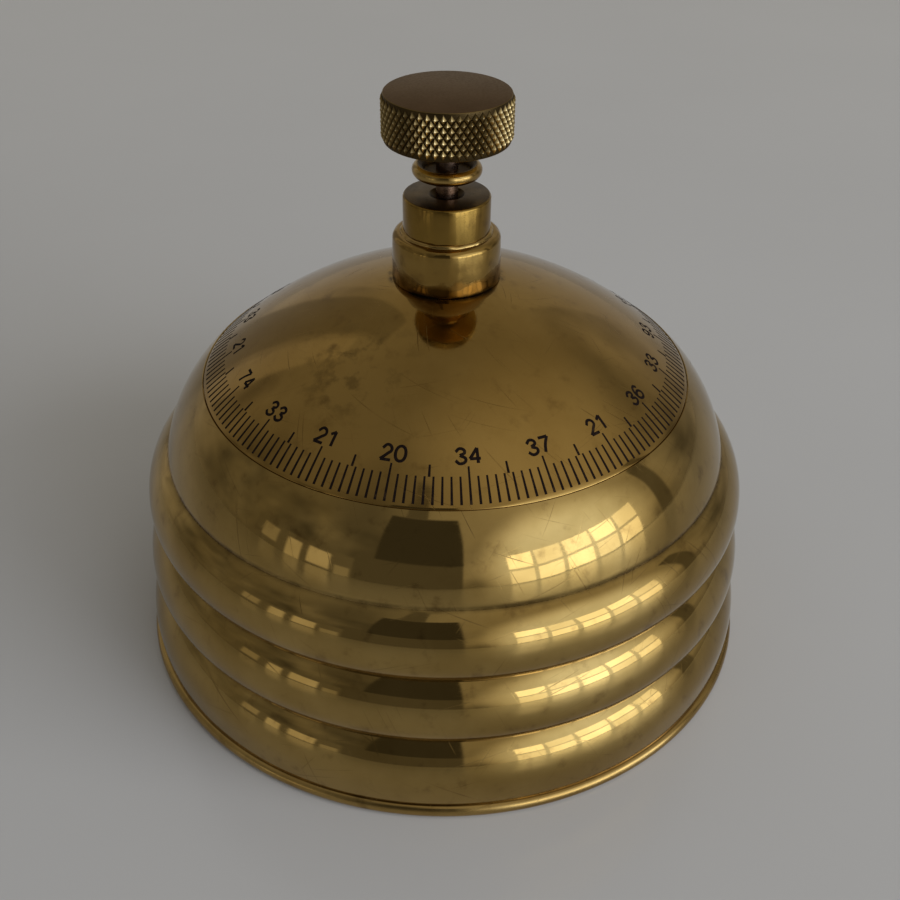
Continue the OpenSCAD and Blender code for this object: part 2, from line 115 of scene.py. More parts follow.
# Each screen has its left and right edge in degrees round from the front, its lower and upper edge in
# degrees up, and its level.
screen_edge = 0.7
screens = [
    (-181, -157, -12, 42, 0.40),
    (150, 181, -12, 42, 0.40),
    (-153, -138, -12, 60, 0.23),
    (-136, -127, 5, 50, 0.42),
    (-75, -31, -12, 14, 0.19),
    (-71, -64, 3, 12, 0.45),
    (-60, -54, -4, 11, 0.70),
    (-51, -42, 1, 12, 0.75),
    (-40, -34, -4, 6, 0.40),
    (-33, 7, -12, 19, 0.13),
    (-26, 7, 17, 49, 0.065),
    (-20, -8, 49, 66, 0.14),
    (90, 97, -12, 32, 0.17),
]
studio = bpy.data.worlds.new("studio")
studio.use_nodes = True
room = studio.node_tree
room.nodes.clear()
direction = add(room, "ShaderNodeTexCoord").outputs["Generated"]
parts = add(room, "ShaderNodeSeparateXYZ", {"Vector": direction}).outputs
upward = parts["Z"]
forward = combine(room, "MULTIPLY", parts["Y"], -1.0)
around = combine(room, "MULTIPLY", combine(room, "ARCTAN2", parts["X"], forward), 180 / pi)
above = combine(room, "MULTIPLY", combine(room, "ARCSINE", upward, 0.0), 180 / pi)
level = spread(room, upward, 0.40, 0.80, start=wall_level, end=ceiling_level)
inputs = {"Vector": direction, "Scale": blotch_scale, "Detail": 2.0}
blotches = add(room, "ShaderNodeTexNoise", inputs).outputs["Fac"]
on_walls = spread(room, upward, 0.45, 0.75, start=1.0, end=0.0)
uneven = combine(room, "MULTIPLY", combine(room, "SUBTRACT", blotches, 0.5), on_walls)
uneven = combine(room, "ADD", combine(room, "MULTIPLY", uneven, blotch_depth), 1.0)
level = combine(room, "MULTIPLY", level, uneven)
at_back = near(room, direction, around=180, above=4, outer=80, inner=25, start=0.0, end=back_glow)
level = combine(room, "ADD", level, at_back)
in_corner = near(room, direction, around=-10, above=40, outer=40, inner=18, start=1.0, end=corner_shade)
level = combine(room, "MULTIPLY", level, in_corner)
on_ceiling = near(room, direction, around=50, above=35, outer=65, inner=20, start=0.0, end=ceiling_glow)
level = combine(room, "ADD", level, on_ceiling)
by_window = near(room, direction, around=50, above=12, outer=40, inner=14, start=0.0, end=window_glow)
level = combine(room, "ADD", level, by_window)
for left, right, lowest, highest, shade in screens:
    across = between(room, around, left, right, screen_edge)
    inside = combine(room, "MULTIPLY", across, between(room, above, lowest, highest, screen_edge))
    level = add(room, "ShaderNodeMix", {"Factor": inside, "A": level, "B": shade}).outputs["Result"]
daylight = near(room, direction, around=50, above=12, outer=42, inner=14, start=0.0, end=1.0)
colours = {"Factor": daylight, "A": warm_light, "B": cool_light}
warmth = add(room, "ShaderNodeMix", colours, data_type="RGBA").outputs["Result"]
glow = add(room, "ShaderNodeBackground", {"Color": warmth, "Strength": level})
add(room, "ShaderNodeOutputWorld", {"Surface": glow.outputs[0]})
bpy.context.scene.world = studio

window_distance = 1.25
window_left = 29
window_low = 5.5
pane_columns = 5
pane_rows = 2
pane_step = 11
pane_w = 0.205
pane_h = 0.205
pane_power = 0.22
pane_least = 0.7
pane_more = 0.3
pane_colour = (0.96, 1.0, 1.08)
sky_w = 0.9
sky_h = 0.5
sky_power = 5.0


def hang(name, width, height, power, around, above):
    """Hangs a flat lamp at the window's distance, facing the weight and unseen by the camera."""
    light = bpy.data.lights.new(name, "AREA")
    light.shape = "RECTANGLE"
    light.size = width
    light.size_y = height
    light.energy = power
    lamp = bpy.data.objects.new(name, light)
    back = aim(around, above)
    lamp.rotation_mode = "QUATERNION"
    lamp.rotation_quaternion = back.to_track_quat("Z", "Y")
    lamp.location = back * window_distance
    lamp.visible_camera = False
    bpy.context.scene.collection.objects.link(lamp)
    return lamp


for column in range(pane_columns):
    for row in range(pane_rows):
        power = pane_power * (pane_least + pane_more * ((column + 2 * row) % 3))
        pane = hang(f"pane_{column}_{row}", pane_w, pane_h, power,
                    around=window_left + pane_step * column, above=window_low + pane_step * row)
        pane.data.color = pane_colour

# The open sky above the window's frame reaches the floor and the matt faces, and shows in no brass.
sky = hang("sky", sky_w, sky_h, sky_power, around=62, above=27)
sky.visible_glossy = False


# Floor. A plain pale stone-coloured sheet, large enough to fill the picture, that keeps the shadow. The
# light that falls on it comes from the window's side as well as from the whole room.
def new_finish(name):
    """Makes a finish and returns it with its nodes, its shader and the place on the piece."""
    finish = bpy.data.materials.new(name)
    finish.use_nodes = True
    tree = finish.node_tree
    place = add(tree, "ShaderNodeTexCoord").outputs["Object"]
    return finish, tree, tree.nodes["Principled BSDF"], place


def blend(tree, factor, first, second):
    """Mixes two colours or colour sockets."""
    inputs = {"Factor": factor, "A": first, "B": second}
    return add(tree, "ShaderNodeMix", inputs, data_type="RGBA").outputs["Result"]


floor_size = 3.0
floor_grey = (0.53, 0.53, 0.53, 1)
floor_light = (0.58, 0.58, 0.58, 1)
floor_gloss = 0.21
floor_shape = bmesh.new()
bmesh.ops.create_grid(floor_shape, x_segments=2, y_segments=2, size=floor_size)
floor_mesh = bpy.data.meshes.new("floor")
floor_shape.to_mesh(floor_mesh)
floor_shape.free()
floor_finish, tree, shader, place = new_finish("floor_pale")
cloud = add(tree, "ShaderNodeTexNoise", {"Vector": place, "Scale": 9.0, "Detail": 4.0}).outputs["Fac"]
tree.links.new(blend(tree, cloud, floor_grey, floor_light), shader.inputs["Base Color"])
shader.inputs["Roughness"].default_value = floor_gloss
floor_mesh.materials.append(floor_finish)
floor = bpy.data.objects.new("floor", floor_mesh)
bpy.context.scene.collection.objects.link(floor)


# Foot plate. A turned brass disc with a rounded rim that shows as a bright line under the lowest rib, a
# spigot inside the body and a shallow hollow below. Four sunk screws hold it, and the pillar's screw and
# the seal over the adjusting plug lie in recesses of their own.
MM = 0.001
ROUND = 288

# In millimetres: points nearer than the weld are joined, and what is under a hair counts as nothing.
weld = 0.0005
hair = 0.001


def begin(radius, height):
    """Starts a section with one point, in millimetres from the axis and above the floor."""
    section = bmesh.new()
    return section, section.verts.new((radius * MM, 0, height * MM))


def straight_to(section, tip, radius, height):
    """Draws the section on in a straight line and returns its new end."""
    end = bmesh.ops.extrude_vert_indiv(section, verts=[tip])["verts"][0]
    end.co = (radius * MM, 0, height * MM)
    return end


def arc_to(section, tip, radius, height, proud, steps):
    """Draws the section on in an arc that stands proud of the straight line, to the right of its way."""
    chord = Vector((radius * MM, 0, height * MM)) - tip.co
    proud = proud * MM
    reach = (chord.length ** 2 / 4 + proud ** 2) / (2 * proud)
    side = Vector((chord.z, 0, -chord.x)).normalized()
    centre = tip.co + chord / 2 + side * (proud - reach)
    sweep = 2 * asin(chord.length / 2 / reach)
    drawn = bmesh.ops.spin(section, geom=[tip], cent=centre, axis=(0, -1, 0), angle=sweep, steps=steps)
    return [v for v in drawn["geom_last"] if isinstance(v, bmesh.types.BMVert)][0]


def turn(section, steps=ROUND):
    """Turns the section round the upright axis, with its seam and poles closed and its faces outwards."""
    drawn = section.verts[:] + section.edges[:]
    bmesh.ops.spin(section, geom=drawn, cent=(0, 0, 0), axis=(0, 0, 1), angle=2 * pi, steps=steps,
                   use_merge=True)
    bmesh.ops.remove_doubles(section, verts=section.verts[:], dist=weld * MM)
    bmesh.ops.recalc_face_normals(section, faces=section.faces[:])


def put(name, shape, finish, body, nodes=(), crease=32):
    """Makes the finished piece, smooth between its corners, and hands it to the body that it moves with."""
    mesh = bpy.data.meshes.new(name)
    shape.to_mesh(mesh)
    shape.free()
    mesh.shade_smooth()
    mesh.set_sharp_from_angle(angle=radians(crease))
    mesh.materials.append(finish)
    piece = bpy.data.objects.new(name, mesh)
    bpy.context.scene.collection.objects.link(piece)
    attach(piece, body)
    if nodes:
        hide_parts(*nodes)


def join(whole, shape):
    """Adds a shape to a larger one and frees it."""
    mesh = bpy.data.meshes.new("shape")
    shape.to_mesh(mesh)
    shape.free()
    whole.from_mesh(mesh)
    bpy.data.meshes.remove(mesh)


def noise_at(tree, place, scale, detail=3.0, stretch=(1, 1, 1), turned=(0, 0, 0)):
    """A noise value at a place, drawn out and turned by a mapping."""
    moved = add(tree, "ShaderNodeMapping", {"Vector": place, "Rotation": turned, "Scale": stretch})
    inputs = {"Vector": moved.outputs["Vector"], "Scale": scale, "Detail": detail, "Roughness": 0.6}
    return add(tree, "ShaderNodeTexNoise", inputs).outputs["Fac"]


def distance_out(tree, place):
    """Distance of a place from the upright axis."""
    inputs = {0: place, 1: (1, 1, 0)}
    flattened = add(tree, "ShaderNodeVectorMath", inputs, operation="MULTIPLY").outputs["Vector"]
    return add(tree, "ShaderNodeVectorMath", {0: flattened}, operation="LENGTH").outputs["Value"]


def unrolled(tree, place, girth):
    """Lays a turned surface out flat: way round it at one radius, and way along its outline."""
    parts = add(tree, "ShaderNodeSeparateXYZ", {"Vector": place}).outputs
    front = combine(tree, "MULTIPLY", parts["Y"], -1.0)
    turned = combine(tree, "MULTIPLY", combine(tree, "ARCTAN2", parts["X"], front), girth)
    along = combine(tree, "SUBTRACT", parts["Z"], distance_out(tree, place))
    return add(tree, "ShaderNodeCombineXYZ", {"X": turned, "Y": along}).outputs["Vector"]


def hairlines(tree, flat, fineness, turned, least):
    """Sparse fine scratches, long and straight, that all lean one way."""
    inputs = {"Vector": flat, "Rotation": (0, 0, turned)}
    leaning = add(tree, "ShaderNodeMapping", inputs).outputs["Vector"]
    drawn_out = noise_at(tree, leaning, fineness, detail=1.0, stretch=(0.02, 1, 1))
    return spread(tree, drawn_out, least, least + 0.05)


dried_polish_and_shade = (0.035, 0.020, 0.007, 1)
wave_height = 0.8
scratch_depth = 0.01


def brass(name, clean, toned, stain, gloss, girth, wave=0.25, scratch=1.0, grime_and_shade=None, lumps=38.0):
    """Old polished brass: clean and toned patches, stains, smudges, scratches and a hand-worked wave."""
    finish, tree, shader, place = new_finish(name)
    flat = unrolled(tree, place, girth)
    patches = noise_at(tree, place, scale=55.0, detail=5.0)
    spots = noise_at(tree, place, scale=330.0, detail=6.0)
    smudges = noise_at(tree, place, scale=120.0, detail=4.0, stretch=(1, 1, 0.5), turned=(0.4, 0.2, 0.9))
    polish = noise_at(tree, flat, scale=5200.0, detail=2.0, stretch=(0.015, 1, 1))
    colour = blend(tree, spread(tree, patches, 0.38, 0.66), clean, toned)
    colour = blend(tree, spread(tree, spots, 0.54, 0.78, end=0.60), colour, stain)
    scratches = hairlines(tree, flat, fineness=1700.0, turned=0.5, least=0.70)
    for turned, least in ((1.2, 0.69), (2.1, 0.72), (2.8, 0.70)):
        scratches = combine(tree, "MAXIMUM", scratches, hairlines(tree, flat, 2600.0, turned, least))
    scratches = combine(tree, "MULTIPLY", scratches, spread(tree, smudges, 0.40, 0.60, start=0.25))
    colour = blend(tree, combine(tree, "MULTIPLY", scratches, 0.55 * scratch), colour, stain)
    dull = spread(tree, smudges, 0.35, 0.75, start=gloss * 0.8, end=gloss * 1.5)
    dull = combine(tree, "ADD", dull, spread(tree, polish, 0.40, 0.75, end=0.05 * scratch))
    dull = combine(tree, "ADD", dull, combine(tree, "MULTIPLY", scratches, 0.20 * scratch))
    # The optional mask blends the brass towards dark brown: dried polish and stains on some pieces, painted
    # shade on the sleeve's top and mouth, and plain darker bands on others.
    if grime_and_shade is not None:
        dirt_and_shade = grime_and_shade(tree, place, spots)
        colour = blend(tree, dirt_and_shade, colour, dried_polish_and_shade)
        dull = combine(tree, "ADD", dull, combine(tree, "MULTIPLY", dirt_and_shade, 0.35))
    tree.links.new(colour, shader.inputs["Base Color"])
    tree.links.new(dull, shader.inputs["Roughness"])
    shader.inputs["Metallic"].default_value = 1.0
    slow = noise_at(tree, place, lumps, detail=2.0)
    worked = add(tree, "ShaderNodeBump", {"Height": slow, "Strength": wave, "Distance": wave_height * MM})
    marks = combine(tree, "SUBTRACT", combine(tree, "MULTIPLY", polish, 0.12), scratches)
    inputs = {"Height": marks, "Strength": 0.25 * scratch, "Distance": scratch_depth * MM,
              "Normal": worked.outputs["Normal"]}
    relief = add(tree, "ShaderNodeBump", inputs)
    tree.links.new(relief.outputs["Normal"], shader.inputs["Normal"])
    return finish


def bore(holes, x, y, mouth_r, mouth_h, shaft_r, shaft_h):
    """Adds a hole from below: a mouth, then a step or a taper to a shaft that goes right through."""
    section, tip = begin(0, -through)
    tip = straight_to(section, tip, mouth_r, -through)
    tip = straight_to(section, tip, mouth_r, mouth_h)
    tip = straight_to(section, tip, shaft_r, shaft_h)
    tip = straight_to(section, tip, shaft_r, plate_top + through)
    tip = straight_to(section, tip, 0, plate_top + through)
    turn(section, steps=64)
    bmesh.ops.translate(section, verts=section.verts[:], vec=(x * MM, y * MM, 0))
    join(holes, section)


def cut(shape, holes):
    """Cuts the holes out of the shape and returns what is left of it."""
    solids = []
    for part in (shape, holes):
        mesh = bpy.data.meshes.new("solid")
        part.to_mesh(mesh)
        part.free()
        solids.append(bpy.data.objects.new("solid", mesh))
        bpy.context.scene.collection.objects.link(solids[-1])
    solids[0].modifiers.new("cut", "BOOLEAN").object = solids[1]
    left = bmesh.new()
    left.from_object(solids[0], bpy.context.evaluated_depsgraph_get())
    bmesh.ops.triangulate(left, faces=left.faces[:])
    bmesh.ops.dissolve_degenerate(left, dist=hair * MM, edges=left.edges[:])
    for solid in solids:
        bpy.data.meshes.remove(solid.data)
    return left


foot_r = 50.0
foot_h = 2.0
foot_bulge = 0.7
spigot_r = 40.65
plate_top = 6.0
hollow_r = 39.5
hollow_h = 0.8
through = 1.0
recess_r = 4.5
recess_top = 3.5
pillar_hole_r = 2.8
seal_at = 26.0
seal_r = 6.2
seal_top = 2.0
plug_r = 5.0
screw_count = 4
screw_at = 44.4
screw_first = 45
screw_head_r = 3.0
screw_land_z = 0.3
screw_hole_r = 1.65
screw_neck_z = 1.8
foot_finish = brass("brass_foot", (0.42, 0.28, 0.095, 1), (0.32, 0.20, 0.06, 1), (0.12, 0.07, 0.02, 1),
                    gloss=0.16, girth=0.050)
section, tip = begin(0, hollow_h)
tip = straight_to(section, tip, hollow_r, hollow_h)
tip = straight_to(section, tip, hollow_r, 0)
tip = straight_to(section, tip, foot_r - foot_bulge, 0)
tip = arc_to(section, tip, foot_r - foot_bulge, foot_h, foot_bulge, steps=12)
tip = straight_to(section, tip, spigot_r, foot_h)
tip = straight_to(section, tip, spigot_r, plate_top)
tip = straight_to(section, tip, 0, plate_top)
turn(section)
holes = bmesh.new()
bore(holes, 0, 0, recess_r, recess_top, pillar_hole_r, recess_top)
bore(holes, seal_at, 0, seal_r, seal_top, plug_r, seal_top)
for screw in range(screw_count):
    around = radians(screw_first + screw * 360 / screw_count)
    bore(holes, screw_at * cos(around), screw_at * sin(around), screw_head_r, screw_land_z,
         screw_hole_r, screw_neck_z)
section = cut(section, holes)
put("foot_plate", section, foot_finish, "base", ["base_plate"])


# Body. One brass casting turned all over: three ribs that narrow upwards, each with its widest line low
# down, then the rounded shoulder up to the dial's seat. Dark polish is left in the grooves.
rib_count = 3
rib_pitch = 11.0
rib_r = 49.45
rib_step = 0.9
rib_belly = 3.8
rib_tuck = 1.1
foot_tuck = 0.2
groove_depth = 2.4
groove_w = 0.5
edge_break = 0.2
shoulder_r = 43.9
shoulder_bulge = 0.95
dial_z = 46.6
lip_w = 0.12
lip_drop = 0.25
lip_inner_drop = 0.32
seat_r = 37.3
seat_z = 44.7
seat_inner_r = 33.1
seat_h = 2.2
bore_r = 40.8
ribs_top = foot_h + rib_count * rib_pitch


def close(section, tip, start):
    """Joins the end of a section to its start."""
    bmesh.ops.contextual_create(section, geom=[tip, start])


def flank_bulge(inward, upward):
    """How far an arc that leaves a rib's widest line upright stands proud of its chord."""
    reach = (inward ** 2 + upward ** 2) / (2 * inward)
    half_chord = hypot(inward, upward) / 2
    return reach - sqrt(reach ** 2 - half_chord ** 2)


def height_of(tree, place):
    """Height of a place above the floor."""
    return add(tree, "ShaderNodeSeparateXYZ", {"Vector": place}).outputs["Z"]


def groove_grime(tree, place, spots):
    """Dirt in the grooves between the ribs and where the body stands on its foot."""
    up = height_of(tree, place)
    counted = combine(tree, "DIVIDE", combine(tree, "SUBTRACT", up, foot_h * MM), rib_pitch * MM)
    away = combine(tree, "PINGPONG", counted, 0.5)
    line = spread(tree, away, 0.015, 0.055, start=1.0, end=0.0)
    below = spread(tree, up, (ribs_top + 1.5) * MM, (ribs_top + 2.5) * MM, start=1.0, end=0.0)
    line = combine(tree, "MULTIPLY", line, below)
    return combine(tree, "MULTIPLY", line, spread(tree, spots, 0.30, 0.62, start=0.15, end=0.55))


body_finish = brass("brass_body", (0.40, 0.270, 0.090, 1), (0.32, 0.208, 0.062, 1), (0.15, 0.085, 0.025, 1),
                    gloss=0.032, girth=0.047, wave=0.35, grime_and_shade=groove_grime)
section, tip = begin(rib_r - foot_tuck, foot_h)
start = tip
for rib in range(rib_count):
    belly_r = rib_r - rib * rib_step
    belly_z = foot_h + rib * rib_pitch + rib_belly
    inward = belly_r - tip.co.x / MM
    tip = arc_to(section, tip, belly_r, belly_z, flank_bulge(inward, belly_z - tip.co.z / MM), steps=12)
    top_r = shoulder_r
    if rib < rib_count - 1:
        top_r = belly_r - rib_step - groove_depth
    top_z = foot_h + (rib + 1) * rib_pitch - groove_w / 2
    tip = arc_to(section, tip, top_r, top_z, flank_bulge(belly_r - top_r, top_z - belly_z), steps=20)
    tip = straight_to(section, tip, top_r, top_z + groove_w)
    if rib < rib_count - 1:
        low_r = belly_r - rib_step - rib_tuck
        tip = straight_to(section, tip, low_r - edge_break, top_z + groove_w)
        tip = arc_to(section, tip, low_r, top_z + groove_w + edge_break, edge_break / 5, steps=4)
tip = arc_to(section, tip, seat_r + lip_w, dial_z - lip_drop, shoulder_bulge, steps=22)
tip = straight_to(section, tip, seat_r, dial_z - lip_inner_drop)
tip = straight_to(section, tip, seat_r, seat_z)
tip = straight_to(section, tip, seat_inner_r, seat_z)
tip = straight_to(section, tip, seat_inner_r, seat_z - seat_h)
tip = arc_to(section, tip, bore_r, ribs_top - seat_h, -shoulder_bulge, steps=10)
tip = straight_to(section, tip, bore_r, foot_h)
close(section, tip, start)
turn(section)
put("turned_body", section, body_finish, "base", ["ribbed_body"], crease=40)


# Dial. A domed brass cap, spun thick and turned true, whose rim lies in the body's seat behind a hair-wide
# gap. It is duller than the ribs, with brown stains left of the middle.
dial_r = 37.0
rim_r = 37.22
rim_top_z = 46.41
rim_z = 45.3
rim_edge_w = 0.06
rim_edge_h = 0.08
spot_r = 8.35
collar_z = 61.8
dome_bulge = 1.85
boss_r = 14.0
boss_z = 57.4
dial_land_r = 34.5
neck_r = 4.5
stain_place = (-12.5, -18.5, 56.5)


def dome_stains_and_band(tree, place, spots):
    """Brown stains where old polish dried, left of the middle, and a darker band round the collar's foot."""
    middle = Vector(stain_place) * MM
    away = add(tree, "ShaderNodeVectorMath", {0: place, 1: middle}, operation="DISTANCE").outputs["Value"]
    cloud = spread(tree, noise_at(tree, place, scale=300.0, detail=5.0), 0.50, 0.66)
    stain = combine(tree, "MULTIPLY", spread(tree, away, 3 * MM, 12 * MM, start=0.40, end=0.0), cloud)
    foot = spread(tree, distance_out(tree, place), 8.2 * MM, 9.0 * MM, start=0.85, end=0.0)
    ring = combine(tree, "MULTIPLY", foot, spread(tree, spots, 0.42, 0.60))
    return combine(tree, "MAXIMUM", stain, ring)


dome_finish = brass("brass_dome", (0.36, 0.225, 0.064, 1), (0.31, 0.188, 0.050, 1), (0.20, 0.115, 0.032, 1),
                    gloss=0.060, girth=0.028, scratch=1.3, grime_and_shade=dome_stains_and_band)
section, tip = begin(rim_r, rim_z)
start = tip
tip = straight_to(section, tip, rim_r, rim_top_z - rim_edge_h)
tip = straight_to(section, tip, rim_r - rim_edge_w, rim_top_z)
tip = straight_to(section, tip, dial_r, dial_z)
tip = arc_to(section, tip, spot_r, collar_z, dome_bulge, steps=40)
tip = straight_to(section, tip, neck_r, collar_z)
tip = straight_to(section, tip, neck_r, boss_z)
tip = straight_to(section, tip, boss_r, boss_z)
tip = arc_to(section, tip, dial_land_r, rim_z, -dome_bulge / 2, steps=20)
close(section, tip, start)
turn(section)
put("dial_dome", section, dome_finish, "dial", ["dial_cap"], crease=40)


# Scale. One hundred and eighty engraved lines filled with black, a longer one at each numeral and a short
# floating mark halfway between. The numerals don't rise in order, as on the real dial.
line_w = 0.33
line_outer_r = 36.75
line_inner_r = 33.75
long_inner_r = 32.65
mark_outer_r = 33.80
mark_inner_r = 32.45
line_taper = 0.1
line_step = 2
numeral_step = 18
first_numeral = -12.2
paint_depth = 0.06
paint_proud = 0.016
numerals = ["20", "34", "37", "21", "36", "33", "93", "19", "40", "25",
            "30", "28", "35", "22", "18", "33", "21", "74", "33", "21"]

chord_r = dial_r - spot_r
chord_z = collar_z - dial_z
chord = hypot(chord_r, chord_z)
dome_reach = (chord ** 2 / 4 + dome_bulge ** 2) / (2 * dome_bulge)
centre_r = (dial_r + spot_r) / 2 + chord_z / chord * (dome_bulge - dome_reach)
centre_z = (dial_z + collar_z) / 2 + chord_r / chord * (dome_bulge - dome_reach)


def dome_angle(radius):
    """Angle, at the middle of the dome's arc, to the point of the dome at a radius."""
    across = radius - centre_r
    return atan2(sqrt(dome_reach ** 2 - across ** 2), across)


def lay_on_dome(shape, foot, middle, turned):
    """Lays a flat drawing on the dome, up the slope from a radius, and turns it to its place."""
    foot_angle = dome_angle(foot)
    for corner in shape.verts:
        across, up, out = corner.co / MM
        angle = foot_angle + up / dome_reach
        radius = centre_r + (dome_reach + out) * cos(angle)
        height = centre_z + (dome_reach + out) * sin(angle)
        around = radians(turned - 90) + across / middle
        corner.co = Vector((radius * cos(around), radius * sin(around), height)) * MM


def scale_line(whole, inner, outer, turned):
    """Adds one line of the scale, a thin strip of paint that tapers a little inwards."""
    strip = bmesh.new()
    bmesh.ops.create_grid(strip, x_segments=1, y_segments=5, size=0.5)
    length = (dome_angle(inner) - dome_angle(outer)) * dome_reach
    for corner in strip.verts:
        up = corner.co.y + 0.5
        width = line_w * (1 + line_taper - 2 * line_taper * up)
        corner.co = Vector((corner.co.x * width, up * length, -paint_depth)) * MM
    top = bmesh.ops.extrude_face_region(strip, geom=strip.faces[:])["geom"]
    raised = [v for v in top if isinstance(v, bmesh.types.BMVert)]
    bmesh.ops.translate(strip, verts=raised, vec=(0, 0, (paint_depth + paint_proud) * MM))
    bmesh.ops.recalc_face_normals(strip, faces=strip.faces[:])
    lay_on_dome(strip, outer, outer, turned)
    join(whole, strip)


def paint(name, fresh, worn):
    """Matt paint in an engraved line, browner where it has worn."""
    finish, tree, shader, place = new_finish(name)
    rubbed = spread(tree, noise_at(tree, place, scale=900.0, detail=4.0), 0.52, 0.75)
    tree.links.new(blend(tree, rubbed, fresh, worn), shader.inputs["Base Color"])
    shader.inputs["Roughness"].default_value = 0.80
    shader.inputs["Specular IOR Level"].default_value = 0.1
    return finish


black = paint("black_fill", (0.008, 0.004, 0.003, 1), (0.030, 0.017, 0.008, 1))
scale_lines = bmesh.new()
for step in range(line_step, numeral_step, line_step):
    scale_line(scale_lines, line_inner_r, line_outer_r, first_numeral + step)
scale_line(scale_lines, long_inner_r, line_outer_r, first_numeral)
scale_line(scale_lines, mark_inner_r, mark_outer_r, first_numeral + numeral_step / 2)
one_sector = scale_lines.verts[:] + scale_lines.edges[:] + scale_lines.faces[:]
bmesh.ops.spin(scale_lines, geom=one_sector, cent=(0, 0, 0), axis=(0, 0, 1),
               angle=-radians(360 - numeral_step), steps=len(numerals) - 1, use_duplicate=True)
put("dial_lines", scale_lines, black, "dial")


# Numerals. Cut by hand with one round-nosed tool along a few simple strokes, and filled with the same
# black as the lines. Each stroke is given by the points that it passes, on a square one numeral high.
numeral_w = 2.40
numeral_h = 2.15
numeral_foot_r = 32.35
numeral_middle_r = 31.35
numeral_advance = 0.80
digit_w = 0.62
pen_w = 0.56
pen_strokes = {
    "0": [[(0.31, 1), (0.60, 0.5), (0.31, 0), (0.02, 0.5), (0.31, 1)]],
    "1": [[(0.08, 0.76), (0.36, 1)], [(0.36, 1), (0.36, 0)]],
    "2": [[(0.05, 0.72), (0.31, 1), (0.58, 0.72), (0.36, 0.38), (0.03, 0)], [(0.03, 0), (0.60, 0)]],
    "3": [[(0.05, 0.78), (0.30, 1), (0.56, 0.77), (0.28, 0.54)],
          [(0.28, 0.54), (0.60, 0.27), (0.30, 0), (0.03, 0.22)]],
    "4": [[(0.46, 0), (0.46, 1)], [(0.46, 1), (0.02, 0.30)], [(0.02, 0.30), (0.62, 0.30)]],
    "5": [[(0.54, 1), (0.12, 1)], [(0.12, 1), (0.07, 0.52)],
          [(0.07, 0.52), (0.32, 0.63), (0.59, 0.32), (0.30, 0), (0.03, 0.19)]],
    "6": [[(0.56, 0.82), (0.33, 1), (0.04, 0.44), (0.31, 0), (0.59, 0.30), (0.33, 0.59), (0.06, 0.36)]],
    "7": [[(0.03, 1), (0.60, 1)], [(0.60, 1), (0.34, 0.5), (0.20, 0)]],
    "8": [[(0.31, 1), (0.56, 0.77), (0.31, 0.54), (0.06, 0.77), (0.31, 1)],
          [(0.31, 0.54), (0.60, 0.27), (0.31, 0), (0.02, 0.27), (0.31, 0.54)]],
    "9": [[(0.06, 0.18), (0.29, 0), (0.58, 0.56), (0.31, 1), (0.03, 0.70), (0.29, 0.41), (0.56, 0.64)]],
}


def pen_line(numeral):
    """Draws the strokes of one numeral as round lines, centred over its foot."""
    drawn = bpy.data.curves.new("numeral", "CURVE")
    drawn.dimensions = "3D"
    drawn.bevel_depth = pen_w / 2 * MM
    drawn.bevel_resolution = 2
    drawn.use_fill_caps = True
    drawn.resolution_u = 5
    half = (digit_w + numeral_advance * (len(numeral) - 1)) / 2
    for position, digit in enumerate(numeral):
        for stroke in pen_strokes[digit]:
            looped = stroke[0] == stroke[-1]
            points = stroke[:-1] if looped else stroke
            line = drawn.splines.new("BEZIER")
            line.bezier_points.add(len(points) - 1)
            line.use_cyclic_u = looped
            for point, (across, up) in zip(line.bezier_points, points):
                across += position * numeral_advance - half
                point.co = Vector((across * numeral_w, up * numeral_h, 0)) * MM
                point.handle_left_type = "AUTO"
                point.handle_right_type = "AUTO"
    return drawn


all_numerals = bmesh.new()
for number, numeral in enumerate(numerals):
    curve = pen_line(numeral)
    drawing = bpy.data.objects.new("numeral", curve)
    bpy.context.scene.collection.objects.link(drawing)
    bpy.context.view_layer.update()
    tubes = bpy.data.meshes.new_from_object(drawing.evaluated_get(bpy.context.evaluated_depsgraph_get()))
    drawn = bmesh.new()
    drawn.from_mesh(tubes)
    bmesh.ops.scale(drawn, verts=drawn.verts[:], vec=(1, 1, (paint_depth + paint_proud) / pen_w))
    bmesh.ops.translate(drawn, verts=drawn.verts[:], vec=(0, 0, 0.5 * (paint_proud - paint_depth) * MM))
    lay_on_dome(drawn, numeral_foot_r, numeral_middle_r, first_numeral + number * numeral_step)
    bmesh.ops.recalc_face_normals(drawn, faces=drawn.faces[:])
    join(all_numerals, drawn)
    bpy.data.meshes.remove(tubes)
    bpy.data.objects.remove(drawing)
    bpy.data.curves.remove(curve)
put("dial_numerals", all_numerals, black, "dial")


# Collar. The lower ring of the post, turned from brass bar with a slight taper and a rounded crown. It
# screws on the hub's neck and clamps the dome under it.
collar_r = 8.05
collar_edge = 0.30
collar_edge_bulge = 0.08
collar_taper = 0.15
collar_side_z = 68.1
collar_top = 69.0
crown_bulge = 0.25
solder_r = 6.8


def darker_collar_foot(tree, place, spots):
    """Darker along the foot of the collar, more so in places."""
    up = height_of(tree, place)
    foot = spread(tree, up, (collar_z + 0.2) * MM, (collar_z + 0.9) * MM, start=0.9, end=0.0)
    return combine(tree, "MULTIPLY", foot, spread(tree, spots, 0.40, 0.62))


